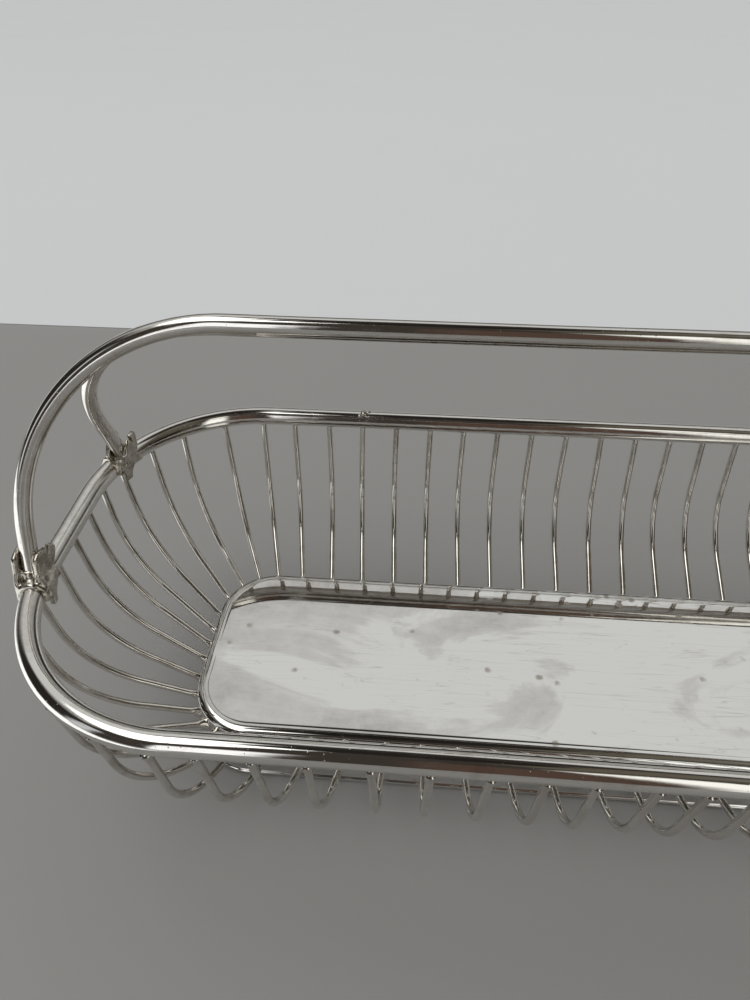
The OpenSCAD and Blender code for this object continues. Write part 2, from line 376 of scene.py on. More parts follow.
def plated_tube(name, colour, tarnish_and_shade, amount, under, rough_lo, rough_hi, wave, rubbed_and_outer_shade=False):
    """Polished silver plate on a tube or wire; UV runs along and round it."""
    n = Nodes(name)
    obj = n.space("Object")
    broad = n.noise(obj, 42.0, detail=5.0, rough=0.6, distort=0.4)
    fine = n.noise(obj, 420.0, detail=4.0, rough=0.65)
    darkening = n.math("ADD", n.math("MULTIPLY", broad, 0.7), n.math("MULTIPLY", fine, 0.3))
    darkening = n.ramp(darkening, (0.50, 0.0), (0.72, amount))
    # painted shade: a dull brown colour on the downward faces, darkest under the tube
    geo = n.add("ShaderNodeNewGeometry")
    facing = n.add("ShaderNodeSeparateXYZ")
    n.link(geo.outputs["Normal"], facing.inputs[0])
    painted_under_shade = n.math("ADD", facing.outputs["Z"], n.remap(broad, 0.3, 0.7, -0.22, 0.22))
    painted_under_shade = n.ramp(n.remap(painted_under_shade, -1.0, 1.0, 0.0, 1.0), (0.16, under), (0.46, 0.0))
    if rubbed_and_outer_shade:
        # the painted shade is kept to the outer side only
        outward = n.add("ShaderNodeVectorMath", operation="DOT_PRODUCT")
        n.link(geo.outputs["Normal"], outward.inputs[0])
        n.link(n.space("Object", scale=(1, 1, 0)), outward.inputs[1])
        painted_under_shade = n.math("MULTIPLY", painted_under_shade, n.remap(outward.outputs["Value"], -0.01, 0.02, 0.0, 1.0))
    # the tarnish mask now also carries the painted underside shade
    darkening = n.math("MAXIMUM", darkening, painted_under_shade)
    col = n.mix(darkening, colour, tarnish_and_shade)
    draw = n.noise(n.space("UV", scale=(45, 5200, 1)), 1.0, detail=3.0)
    specks = n.voronoi(obj, 900.0)
    speck = n.ramp(specks, (0.0, 1.0), (0.13, 0.0))
    keep = n.ramp(n.noise(obj, 130.0, detail=2.0), (0.52, 0.0), (0.62, 1.0))
    speck = n.math("MULTIPLY", speck, keep)
    col = n.mix(n.math("MULTIPLY", speck, 0.75), col, (0.10, 0.075, 0.05))
    line = scratches(n, "UV", 0.05, 30, 1900, 3.1, width=0.03, sparse=0.5)
    rough = n.remap(broad, 0.35, 0.7, rough_lo, rough_hi)
    rough = n.math("ADD", rough, n.math("MULTIPLY", line, 0.16))
    rough = n.math("ADD", rough, n.math("MULTIPLY", speck, 0.35), clamp=True)
    if rubbed_and_outer_shade:
        # both ends are rubbed dull where the tray is picked up and slid
        place = n.add("ShaderNodeSeparateXYZ")
        n.link(obj, place.inputs[0])
        dull = n.remap(n.math("ABSOLUTE", place.outputs["X"]), 0.160, 0.170, 0.0, 1.0)
        dull = n.math("MULTIPLY", dull, n.remap(fine, 0.35, 0.65, 0.7, 1.0))
        rough = n.math("ADD", rough, n.math("MULTIPLY", dull, 0.20), clamp=True)
    normal = n.bump(n.noise(obj, 55.0, detail=2.0), wave, 0.0011)
    normal = n.bump(draw, 0.10, 0.00005, normal)
    normal = n.bump(speck, 0.35, 0.00010, normal)
    return n.done(col, rough, normal)


def plated_pan():
    """Flat polished plate: haze, wiping scratches, spots and old water rings."""
    n = Nodes("silver_pan_plate")
    obj = n.space("Object")
    drawn_out = n.space("Object", scale=(0.8, 1.5, 1), rotate=(0, 0, 0.32))
    cloud = n.noise(drawn_out, 19.0, detail=7.0, rough=0.58, distort=0.9)
    # the cloud pattern is lifted towards the left end, so the plate is darker and duller there
    where = n.add("ShaderNodeSeparateXYZ")
    n.link(obj, where.inputs[0])
    cloud = n.math("ADD", cloud, n.remap(where.outputs["X"], -0.135, -0.03, 0.11, -0.02))
    haze = n.ramp(cloud, (0.49, 0.0), (0.53, 0.55), (0.66, 1.0))
    mottle = n.noise(obj, 150.0, detail=5.0, rough=0.7, distort=0.3)
    patchy = n.math("MULTIPLY", haze, n.remap(mottle, 0.3, 0.7, 0.45, 1.0))
    lines = None
    for angle, seed, along, across, width, sparse in (
        (0.35, 1.7, 16, 400, 0.010, 0.55),
        (-0.62, 5.3, 24, 500, 0.010, 0.55),
        (1.1, 9.1, 34, 440, 0.010, 0.56),
        (-0.28, 13.9, 13, 560, 0.010, 0.56),
        (2.2, 21.4, 38, 460, 0.006, 0.57),
    ):
        one = scratches(n, "Object", angle, along, across, seed, width, sparse)
        lines = one if lines is None else n.math("MAXIMUM", lines, one)
    # short wipe marks in loose swirls
    swirl = n.noise(n.space("Object", scale=(50, 210, 1), rotate=(0, 0, 0.5)), 1.0, 3.0, 0.5, 2.6)
    swirl = n.ramp(n.math("ABSOLUTE", n.math("SUBTRACT", swirl, 0.5)), (0.0, 1.0), (0.02, 0.0))
    swirl = n.math("MULTIPLY", swirl, n.ramp(n.noise(obj, 30.0), (0.5, 0.0), (0.6, 0.8)))
    # small dark spots and pale rings
    dots = n.voronoi(n.space("Object", shift=(3, 1, 0)), 150.0)
    dots = n.math("ADD", dots, n.remap(n.noise(obj, 330.0), 0.3, 0.7, -0.06, 0.06))
    pick = n.ramp(n.noise(obj, 55.0, detail=1.0), (0.53, 0.0), (0.60, 1.0))
    dot = n.math("MULTIPLY", n.ramp(dots, (0.08, 1.0), (0.20, 0.0)), pick)
    ring_d = n.voronoi(n.space("Object", shift=(0.31, 0.77, 0)), 33.0)
    ring = n.ramp(ring_d, (0.10, 0.0), (0.14, 0.8), (0.17, 0.0))
    few = n.ramp(n.noise(obj, 16.0, detail=1.0), (0.5, 0.0), (0.56, 1.0))
    ring = n.math("MULTIPLY", ring, few)
    col = n.mix(patchy, (0.90, 0.90, 0.88), (0.57, 0.545, 0.515))
    col = n.mix(n.math("MULTIPLY", lines, 0.60), col, (0.60, 0.58, 0.55))
    col = n.mix(n.math("MULTIPLY", swirl, 0.22), col, (0.66, 0.64, 0.61))
    col = n.mix(n.math("MULTIPLY", dot, 0.7), col, (0.33, 0.28, 0.22))
    col = n.mix(n.math("MULTIPLY", ring, 0.45), col, (0.58, 0.53, 0.46))
    rough = n.remap(patchy, 0.0, 1.0, 0.008, 0.032)
    rough = n.math("ADD", rough, n.math("MULTIPLY", lines, 0.12))
    rough = n.math("ADD", rough, n.math("MULTIPLY", swirl, 0.07))
    rough = n.math("ADD", rough, n.math("MULTIPLY", dot, 0.20), clamp=True)
    normal = n.bump(n.noise(obj, 16.0, detail=1.0), 0.05, 0.0008)
    return n.done(col, rough, normal)


def cast_metal(name, base, dark, bright, pit):
    """Tarnished plated casting or solder: pitted, brown in the hollows."""
    n = Nodes(name)
    obj = n.space("Object")
    geo = n.add("ShaderNodeNewGeometry")
    edge = n.ramp(geo.outputs["Pointiness"], (0.44, 0.0), (0.50, 0.45), (0.57, 1.0))
    broad = n.noise(obj, 190.0, detail=5.0, rough=0.6, distort=0.5)
    fine = n.noise(obj, 1300.0, detail=4.0, rough=0.65)
    darkening = n.ramp(broad, (0.42, 0.0), (0.62, 1.0))
    col = n.mix(darkening, base, dark)
    col = n.mix(n.math("MULTIPLY", edge, n.remap(fine, 0.3, 0.7, 0.2, 1.0)), col, bright)
    rough = n.remap(fine, 0.3, 0.7, 0.14, 0.34)
    rough = n.math("SUBTRACT", rough, n.math("MULTIPLY", edge, 0.08), clamp=True)
    pits = n.ramp(n.voronoi(obj, 900.0), (0.0, 0.0), (0.30, 1.0))
    normal = n.bump(broad, 0.16, 0.0005)
    normal = n.bump(fine, 0.18, 0.00015, normal)
    normal = n.bump(pits, pit, 0.00008, normal)
    return n.done(col, rough, normal)


SILVER = (0.83, 0.81, 0.775)
# plated tubes: colour, tarnish and painted-shade colour, tarnish amount, painted shade below, roughness
# from and to, waviness
mat_rim = plated_tube(
    "silver_rim_plate", SILVER, (0.27, 0.21, 0.15), 0.45, 0.85, 0.03, 0.10, 0.08, rubbed_and_outer_shade=True
)
mat_hoop = plated_tube(
    "silver_handle_plate", SILVER, (0.38, 0.31, 0.22), 0.50, 0.5, 0.03, 0.11, 0.08
)
mat_wire = plated_tube(
    "silver_wire_plate", (0.76, 0.735, 0.69), (0.26, 0.20, 0.14), 0.75, 0.8, 0.05, 0.16, 0.12
)
mat_pan = plated_pan()
# castings: base, hollows, rubbed edges, depth of the pits
mat_tie = cast_metal("cast_tie_plate", (0.50, 0.47, 0.40), (0.19, 0.155, 0.10), (0.88, 0.85, 0.79), 0.35)
mat_solder = cast_metal("solder_metal", (0.50, 0.46, 0.40), (0.22, 0.17, 0.12), (0.72, 0.69, 0.63), 0.3)


def settle(obj, material, slot, *nodes):
    """Gives a piece its material and puts it in the place of its CAD nodes."""
    obj.data.materials.append(material)
    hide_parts(*nodes)
    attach(obj, "root")


# ---------------------------------------------------------------- rim
RIM_STEP = 1.4
outline = round_outline(
    RIM_CX, RIM_CY, RIM_CORNER,
    math.ceil(math.pi / 2 * RIM_CORNER / RIM_STEP),
    int(2 * RIM_CX / RIM_STEP),
    int(2 * RIM_CY / RIM_STEP),
)
rim_pts = np.column_stack([outline, np.full(len(outline), RIM_Z)])
# a hand-bent loop: slow waves, a tube that varies a little and a neck at the seam
rim_pts[:, 2] += 0.18 * FIELD(rim_pts * 0.017 + 4.2)
seam_gap = np.hypot(rim_pts[:, 0] - SEAM_X, rim_pts[:, 1] - RIM_HALF_W)
rim_r = RIM_R + 0.03 * FIELD(rim_pts * 0.05) - 0.10 * np.exp(-((seam_gap / 1.1) ** 2))
b = Build()
tube(b, rim_pts, rim_r, 48, closed=True)
settle(b.finish("rim"), mat_rim, "silver_tube", "rim_tube")


# ---------------------------------------------------------------- hoops
def hoop_world(p, spec):
    """Points (x, s) of a hoop's own plane, s up the leg, in the tray's frame."""
    a = math.radians(spec["tilt"])
    x, s = p[..., 0], p[..., 1]
    return np.stack([x, spec["y"] - s * math.sin(a), RIM_Z + s * math.cos(a)], -1)


def hoop_path(spec, step=1.5):
    """Centre line of a hoop in its own plane: leg, bend, grip and their mirror."""
    g, r = spec["grip"], spec["bend"]
    c = HOOP_RISE - r
    leg = np.linspace(LEG_FOOT - 1.2, c, max(3, int((c - LEG_FOOT) / step)))
    pts = [(-g - r, s) for s in leg[:-1]]
    n = int(math.pi / 2 * r / step)
    pts += [
        (-g - r * math.cos(math.pi / 2 * i / n), c + r * math.sin(math.pi / 2 * i / n))
        for i in range(n)
    ]
    m = int(g / step)
    pts += [(-g + g * i / m, HOOP_RISE) for i in range(m)]
    pts = np.array(pts)
    other = pts[::-1] * [-1, 1]
    return np.concatenate([pts, [(0.0, HOOP_RISE)], other])


for side, spec in HOOPS.items():
    flat = hoop_path(spec)
    pts = hoop_world(flat, spec)
    sway = np.stack([FIELD(pts * 0.021 + shift) for shift in (3, 9, 17)], -1)
    pts = pts + 0.16 * sway * soft(flat[:, 1], 10, 40)[:, None]
    b = Build()
    a = math.radians(spec["tilt"])
    normal = (0.0, math.cos(a), math.sin(a))
    tube(b, pts, HOOP_R + 0.02 * FIELD(pts * 0.06), 40, ref=normal)
    settle(b.finish(f"handle_hoop_{side}"), mat_hoop, "silver_tube", f"{side}_hoop")


# ---------------------------------------------------------------- side wires
def rib_path(foot, seat, bend, bow, lift, step=1.1):
    """Centre line of a wire from inside the pan wall to inside the rim: a straight
    foot, a bend and a straight upper part, bowed sideways by up to bow."""
    foot, seat = np.asarray(foot, float), np.asarray(seat, float)
    span = float(np.linalg.norm(seat - foot))
    out = (seat - foot) / span
    rise = SEAT_Z - FOOT_Z - lift
    cs, sn = math.cos(FOOT_SLOPE), math.sin(FOOT_SLOPE)
    ct, st = math.cos(TOP_SLOPE), math.sin(TOP_SLOPE)
    det = cs * st - ct * sn
    a = (span * st - ct * rise) / det
    c = (cs * rise - span * sn) / det
    cut = bend * math.tan(BEND_TURN / 2)
    low = np.linspace(-RIB_TUCK, a - cut, max(4, int((a - cut) / step)))
    pts = [(u * cs, FOOT_Z + lift + u * sn) for u in low[:-1]]
    k = max(6, int(bend * BEND_TURN / step))
    cx = (a - cut) * cs - bend * sn
    cz = FOOT_Z + lift + (a - cut) * sn + bend * cs
    for i in range(k):
        t = FOOT_SLOPE - math.pi / 2 + BEND_TURN * i / k
        pts.append((cx + bend * math.cos(t), cz + bend * math.sin(t)))
    top = np.linspace(c - cut, -RIB_TUCK, max(4, int((c - cut) / step)))
    pts += [(span - u * ct, SEAT_Z - u * st) for u in top]
    pts = np.array(pts)
    across = np.array([-out[1], out[0]])
    h = np.clip((pts[:, 1] - FOOT_Z) / (SEAT_Z - FOOT_Z), 0, 1)
    drift = bow * np.sin(math.pi * h)
    xy = foot + pts[:, :1] * out + drift[:, None] * across
    return np.column_stack([xy, pts[:, 1]]), across


def rib(build, foot, seat, seed, bend=RIB_BEND, lump=1.0):
    """One wire, a little out of true, with a solder fillet at each end."""
    rnd = np.random.RandomState(int(seed) % 100000)
    bend = bend + rnd.uniform(-0.9, 0.9)
    pts, across = rib_path(foot, seat, bend, rnd.uniform(-0.5, 0.5), rnd.uniform(-0.35, 0.35))
    s = np.concatenate([[0], np.cumsum(np.linalg.norm(np.diff(pts, axis=0), axis=1))])
    end = s[-1] - s
    blob_foot, blob_top = lump * rnd.uniform(0.30, 0.75), rnd.uniform(0.12, 0.34)
    r = (
        RIB_R
        + blob_foot * np.exp(-((np.maximum(s - RIB_TUCK, 0) / 1.15) ** 2))
        + blob_top * np.exp(-((np.maximum(end - RIB_TUCK, 0) / 0.95) ** 2))
        + 0.025 * FIELD(pts * 0.3 + seed * 0.01)
    )
    tube(build, pts, r, 18, ref=(across[0], across[1], 0.0), bumps=0.02, seed=seed * 0.001)


def end_point(cx, cy, r, s):
    """Plan point at distance s round the left end, from its back corner."""
    arc, flat = math.pi / 2 * r, 2 * cy
    if s < 0:
        return (-cx - s, cy + r)
    if s < arc:
        a = s / r
        return (-cx - r * math.sin(a), cy + r * math.cos(a))
    if s < arc + flat:
        return (-cx - r, cy - (s - arc))
    if s < 2 * arc + flat:
        a = (s - arc - flat) / r
        return (-cx - r * math.cos(a), -cy - r * math.sin(a))
    return (-cx + s - 2 * arc - flat, -cy - r)


FAN_X = SIDE_HALF * RIB_PITCH
RIM_LEAD, RIM_ARC = FAN_X - RIM_CX, math.pi / 2 * RIM_CORNER
RIM_RUN = 2 * (RIM_ARC - RIM_LEAD) + 2 * RIM_CY
BASE_LEAD, BASE_ARC = 1.9, math.pi / 2 * FOOT_R
BASE_RUN = 2 * (BASE_ARC - BASE_LEAD) + 2 * BASE_CY


def fan_wire(k, d_foot, d_seat):
    """Foot and seat, in plan, of the k-th wire round the left end."""
    s = RIM_LEAD + k * RIM_RUN / (END_RIBS + 1) + d_seat
    q = s * SEAT_R / RIM_CORNER
    if s > RIM_ARC:
        q += (1 - SEAT_R / RIM_CORNER) * min(s - RIM_ARC, 2 * RIM_CY)
    seat = end_point(RIM_CX, RIM_CY, SEAT_R, q)
    t = BASE_LEAD + k * BASE_RUN / (END_RIBS + 1) + d_foot
    foot = end_point(BASE_CX, BASE_CY, FOOT_R, t)
    return np.array(foot), np.array(seat)


def side_wire(k, d_foot, d_seat):
    """Foot and seat, in plan, of the k-th wire of the back, counted from the middle."""
    x = k * RIB_PITCH
    foot_x = k * (RIB_PITCH - 0.35 * (abs(k) / SIDE_HALF) ** 6)
    return (
        np.array([foot_x + d_foot, BASE_CY + FOOT_R]),
        np.array([x + d_seat, RIM_CY + SEAT_R]),
    )


# hand-set wires are not quite evenly spaced: (wire, shift at pan, shift at rim)
FRONT_SHIFT = {-10: (2.3, -3.0), -9: (1.8, -2.4), -8: (1.7, -1.8), -7: (1.2, 0.4), -6: (0.9, 1.6),
               -5: (0.7, 2.8), -4: (1.3, 3.0), -3: (2.0, 1.8), -2: (2.6, 3.2), -1: (1.0, 1.7),
               0: (0.7, 1.0), -11: (1.8, -2.2)}
BACK_SHIFT = {-11: (1.5, -2.2), -10: (0.4, -2.6), -9: (0.3, -2.0), -8: (0.2, -1.6), -7: (0.3, -1.3),
              -6: (0.1, -1.0), -5: (0.2, -0.9), -4: (0.0, -0.7), -3: (0.1, -0.5), -2: (0.2, -0.2),
              -1: (0.1, 0.0), 0: (0.2, 0.1), 1: (0.4, 0.1), 2: (0.2, -0.4), 3: (0.0, -0.8)}


def jitter(seed, k, amount):
    r = np.random.RandomState(seed * 1000 + int(k) + 500)
    return r.uniform(-amount, amount, 2)


GROUPS = ((-11, -7), (-6, -3), (-2, 2), (3, 6), (7, 11))
for side, flip, shifts in (("front", -1, FRONT_SHIFT), ("back", 1, BACK_SHIFT)):
    for g, (k0, k1) in enumerate(GROUPS, 1):
        b = Build()
        for k in range(k0, k1 + 1):
            df, ds = shifts.get(k, jitter(3 if side == "front" else 5, k, 1.1))
            foot, seat = side_wire(k, df, ds)
            rib(b, foot * [1, flip], seat * [1, flip], 100 * flip + 37 * k + 900)
        settle(b.finish(f"wires_{side}_{g}"), mat_wire, "silver_wire", f"{side}_ribs_{g}")

# the left end as photographed: (shift at pan, shift at rim) of fan wires 1 to 13
LEFT_SHIFT = ((0.4, 2.6), (0.6, 4.2), (1.6, 3.3), (2.6, 3.4), (3.8, 0.3), (3.7, -2.0), (3.5, -3.0),
              (4.6, -4.6), (5.0, -4.1), (5.0, -4.8), (4.4, -4.0), (3.6, -3.4), (2.6, -2.8))
FANS = (("back_corner", 1, 4), ("end", 5, 9), ("front_corner", 10, 13))
for side, flip in (("left", 1), ("right", -1)):
    for part, k0, k1 in FANS:
        b = Build()
        for k in range(k0, k1 + 1):
            df, ds = LEFT_SHIFT[k - 1] if side == "left" else jitter(13, k, 0.7)
            foot, seat = fan_wire(k, df, ds)
            lump = 2.0 if part == "front_corner" else 1.0
            rib(b, foot * [flip, 1], seat * [flip, 1], 53 * k + 4000 + 700 * flip, FAN_BEND, lump)
        settle(b.finish(f"wires_{side}_{part}"), mat_wire, "silver_wire", f"{side}_{part}_ribs")


# ---------------------------------------------------------------- base pan
def pan_profile():
    """(offset from corner centre, height) from the flat top over the rounded
    edge, down the wall, round the foot and back up inside."""
    edge_in = WALL_TOP - EDGE
    top = BASE_H + CROWN
    drop = top - EDGE_FALL
    pts = [(o, top) for o in (0.6, 6.0, 11.0, 13.4, 14.4, 14.8)]
    # faint crease where the top turns into the edge
    pts += [(15.0, top - 0.03), (15.2, top - CREASE_DEPTH), (15.4, top - 0.02)]
    for a in range(88, 1, -4):
        t = math.radians(a)
        pts.append((edge_in + EDGE * math.cos(t), drop + EDGE_FALL * math.sin(t)))
    # the wall, bulging a little on its way down to the rolled foot edge
    steps = 12
    for i in range(1, steps + 1):
        f = i / steps
        z = drop + (HEM * 1.55 - drop) * f
        pts.append((WALL_TOP + FLARE * f + 0.12 * math.sin(math.pi * f), z))
    hem = (WALL_FOOT - SHEET / 2, HEM - 0.15)
    for a in range(50, -215, -15):
        t = math.radians(a)
        z = max(hem[1] + HEM * math.sin(t), 0.0)
        pts.append((hem[0] + HEM * math.cos(t), z))
    # back up along the inside of the wall and below the top
    inner = WALL_TOP - SHEET
    pts += [(WALL_FOOT - SHEET, 1.6), (inner + 0.9, 7.0), (inner, WALL_TOP_Z)]
    r = EDGE - SHEET
    for a in (25, 50, 75):
        t = math.radians(a)
        pts.append((edge_in + r * math.cos(t), WALL_TOP_Z + r * math.sin(t)))
    under = BASE_H - SHEET
    pts += [(14.5, under), (6.0, under), (0.6, under)]
    return pts


profile = pan_profile()


def pan_ring(off, z):
    flat = round_outline(BASE_CX, BASE_CY, off, 26, 130, 14)
    return np.column_stack([flat, np.full(len(flat), z)])


rings = np.stack([pan_ring(off, z) for off, z in profile])
# a drawn pan is never perfectly straight: slow waves of a tenth of a millimetre
wave = 0.10 * FIELD(rings * 0.03 + 5.5)
rings[..., 1] += wave * np.sign(rings[..., 1]) * soft(BASE_H - rings[..., 2], 0.4, 2.4)
b = Build()
steps = np.linalg.norm(np.diff(np.array(profile), axis=0), axis=1)
run = np.concatenate([[0], np.cumsum(steps)])
b.grid(rings, run * MM, np.linspace(0, 0.6, rings.shape[1] + 1))
for ring, flip in ((rings[0], True), (rings[-1], False)):
    rows = [ring] + [ring * [f, f, 1.0] for f in (0.8, 0.55, 0.3, 0.1)]
    b.fan(rows, [0, 0, ring[0, 2]], flip, 0.02, 0.6)
settle(b.finish("base_pan_plate"), mat_pan, "silver_pan", "pan_top", "pan_wall")


# ---------------------------------------------------------------- cast ties
def surface_net(values, origin, step):
    """Naive surface nets: closed quad mesh of the zero level of a 3-D grid."""
    inside = values < 0
    nx, ny, nz = values.shape
    corner = [(i, j, k) for i in (0, 1) for j in (0, 1) for k in (0, 1)]
    cell = np.zeros((nx - 1, ny - 1, nz - 1), int)
    for c in corner:
        cell += inside[c[0]:nx - 1 + c[0], c[1]:ny - 1 + c[1], c[2]:nz - 1 + c[2]]
    active = (cell > 0) & (cell < 8)
    index = -np.ones(cell.shape, int)
    ids = np.argwhere(active)
    index[active] = np.arange(len(ids))
    total = np.zeros((len(ids), 3))
    count = np.zeros(len(ids))
    for a in range(8):
        for d in range(3):
            if corner[a][d] == 1:
                continue
            other = list(corner[a])
            other[d] = 1
            va = values[tuple((ids + corner[a]).T)]
            vb = values[tuple((ids + other).T)]
            cross = (va < 0) != (vb < 0)
            t = np.where(cross, va / np.where(cross, va - vb, 1), 0)
            p = np.array(corner[a], float) + np.eye(3)[d] * t[:, None]
            total += np.where(cross[:, None], p, 0)
            count += cross
    verts = origin + (ids + total / count[:, None]) * step
    faces = []
    for d in range(3):
        u, v = (d + 1) % 3, (d + 2) % 3
        sl_a = [slice(None)] * 3
        sl_b = [slice(None)] * 3
        sl_a[d], sl_b[d] = slice(0, -1), slice(1, None)
        cross = inside[tuple(sl_a)] != inside[tuple(sl_b)]
        at = np.argwhere(cross)
        ok = (at[:, u] > 0) & (at[:, u] < values.shape[u] - 1)
        ok = ok & (at[:, v] > 0) & (at[:, v] < values.shape[v] - 1)
        at = at[ok]
        start_in = inside[tuple(at.T)]
        quad = []
        for du, dv in ((1, 1), (0, 1), (0, 0), (1, 0)):
            c = at.copy()
            c[:, u] -= du
            c[:, v] -= dv
            quad.append(index[tuple(c.T)])
        quad = np.stack(quad, -1)
        quad = np.where(start_in[:, None], quad, quad[:, ::-1])
        faces.append(quad)
    return verts, np.concatenate(faces)


def smooth_min(a, b, k):
    h = np.clip(0.5 + 0.5 * (b - a) / k, 0, 1)
    return b + (a - b) * h - k * h * (1 - h)


def smooth_max(a, b, k):
    return -smooth_min(-a, -b, k)


# sizes of a tie, mm: saddle over the rim, leaf-shaped cheeks beside the leg, notch in
# the top edge of each cheek, collar round the foot of the leg
SADDLE_WALL, SADDLE_HALF, SADDLE_SHIFT, SADDLE_LOW = 1.15, 4.6, 0.6, 1.2
CHEEK_OFF, CHEEK_HALF_T = 2.8, 0.74
CHEEK_FRONT, CHEEK_BACK, CHEEK_SLANT = -3.2, -0.4, 7.2
CHEEK_TOP, CHEEK_BOTTOM = 10.9, 5.2
NOTCH_AT, NOTCH_FLOOR = 3.0, 7.2
COLLAR_R, COLLAR_AT, COLLAR_HALF = 3.0, 4.4, 1.1


def tie_field(p, spec, at, turn, seed):
    """Distance-like field of a cast tie at the left end (mm), negative inside."""
    q = np.maximum(np.abs(p[..., :2]) - [RIM_CX, RIM_CY], 0)
    off = np.hypot(q[..., 0], q[..., 1]) - RIM_CORNER
    dz = p[..., 2] - RIM_Z
    d_rim = np.hypot(off, dz)
    along = (p[..., 0] - at[0]) * math.sin(turn) + (p[..., 1] - at[1]) * math.cos(turn)
    a = math.radians(spec["tilt"])
    rel = p - np.array([-(spec["grip"] + spec["bend"]), spec["y"], RIM_Z])
    s = -rel[..., 1] * math.sin(a) + rel[..., 2] * math.cos(a)
    w = rel[..., 1] * math.cos(a) + rel[..., 2] * math.sin(a)
    x = rel[..., 0]
    # saddle, longer towards its lower edge
    half = SADDLE_HALF + 0.35 * np.clip(np.clip(-dz, -4, 3) + 1.5, 0, 4)
    saddle = smooth_max(d_rim - (RIM_R + SADDLE_WALL), np.abs(along - SADDLE_SHIFT) - half, 0.7)
    saddle = smooth_max(saddle, -dz - SADDLE_LOW, 0.6)
    # cheeks: front edge straight, back edge slanting down to tips beside the rim
    low = soft(s, 5.0, 1.0)
    across = x * (1 - low) - off * low
    length = w * (1 - low) + along * low
    side = CHEEK_OFF + 0.15 * soft(s, 6.0, 12.0) + 0.85 * soft(s, 4.8, 0.8)
    front_edge = CHEEK_FRONT + 0.5 * soft(s, 2.0, -4.0)
    back_edge = CHEEK_BACK + CHEEK_SLANT * soft(s, -5.5, 8.5)
    middle, reach = (front_edge + back_edge) / 2, (back_edge - front_edge) / 2
    plate = np.abs(np.abs(across) - side) - CHEEK_HALF_T
    cheeks = smooth_max(plate, np.abs(length - middle) - reach, 0.5)
    tip = CHEEK_TOP - 1.9 * (np.abs(w - 1.8) / 5.2) ** 2 + 0.6 * FIELD(p * 0.33 + seed)
    cheeks = smooth_max(cheeks, s - tip, 0.6)
    cheeks = smooth_max(cheeks, -CHEEK_BOTTOM - s, 0.6)
    notch = np.maximum(np.abs(w - NOTCH_AT) - 0.20 * (s - NOTCH_FLOOR), NOTCH_FLOOR - s)
    cheeks = smooth_max(cheeks, -notch, 0.3)
    leg = np.hypot(x, w)
    collar = smooth_max(leg - COLLAR_R, np.abs(s - COLLAR_AT) - COLLAR_HALF, 0.8)
    out = smooth_min(saddle, cheeks, 0.9)
    out = smooth_min(out, collar, 0.9)
    # uneven surface of a hand-finished casting
    return out + 0.09 * FIELD(p * 0.40 + seed * 1.7) + 0.02 * FIELD(p * 1.1 + seed)


TIE_STEP = 0.25
TIE_BOX_AT, TIE_BOX = (-8.5, -12.0, -4.5), (19.0, 24.0, 21.5)


def make_tie(name, node, spec, mirror, seed):
    """A tie casting of the left end, or its mirror image at the right end."""
    over = max(abs(spec["y"]) - RIM_CY, 0.0)
    turn = math.asin(over / RIM_CORNER) * (1 if spec["y"] > 0 else -1)
    at = (-(RIM_CX + RIM_CORNER * math.cos(turn)), spec["y"])
    lo = np.array([at[0], at[1], RIM_Z]) + TIE_BOX_AT
    axes = [lo[i] + TIE_STEP * np.arange(int(TIE_BOX[i] / TIE_STEP)) for i in range(3)]
    p = np.stack(np.meshgrid(*axes, indexing="ij"), -1)
    verts, faces = surface_net(tie_field(p, spec, at, turn, seed), lo, TIE_STEP)
    if mirror:
        verts = verts * [-1, 1, 1]
        faces = faces[:, ::-1]
    b = Build()
    b.v.append(verts)
    b.f.append(faces)
    b.uv.append(np.zeros((len(faces), 4, 2)))
    obj = b.finish(name)
    mod = obj.modifiers.new("even", "SMOOTH")
    mod.factor, mod.iterations = 0.5, 6
    settle(obj, mat_tie, "cast_tie", node)


TIE_SEED = {"front": 2.3, "back": 7.9}
for side, spec in HOOPS.items():
    for end, mirror in (("left", False), ("right", True)):
        seed = TIE_SEED[side] + (11.0 if mirror else 0.0)
        make_tie(f"tie_{side}_{end}_casting", f"tie_{side}_{end}", spec, mirror, seed)


# ---------------------------------------------------------------- seam solder
def blob(build, centre, size, seed, rings=14, sides=20):
    """A small irregular bead of solder with the given half sizes."""
    lat = np.linspace(-math.pi / 2, math.pi / 2, rings)
    lon = np.arange(sides) * 2 * math.pi / sides
    d = np.stack(
        [
            np.cos(lat)[:, None] * np.cos(lon)[None],
            np.cos(lat)[:, None] * np.sin(lon)[None],
            np.broadcast_to(np.sin(lat)[:, None], (rings, sides)),
        ],
        -1,
    )
    r = 1 + 0.22 * FIELD(d * 1.6 + seed)
    points = np.array(centre) + d * np.array(size) * r[..., None]
    build.grid(points, np.linspace(0, 0.003, rings), np.linspace(0, 0.006, sides + 1))


SEAM_TOP = RIM_Z + RIM_R
b = Build()
blob(b, (SEAM_X, RIM_HALF_W - 0.4, SEAM_TOP - 0.3), (1.3, 1.1, 0.95), 1.0)
blob(b, (SEAM_X + 1.6, RIM_HALF_W + 0.3, SEAM_TOP - 0.35), (1.0, 0.9, 0.75), 2.0)
blob(b, (SEAM_X - 1.3, RIM_HALF_W - 1.3, SEAM_TOP - 0.7), (0.8, 0.7, 0.6), 3.0)
settle(b.finish("rim_seam_bead"), mat_solder, "solder", "rim_seam_solder")


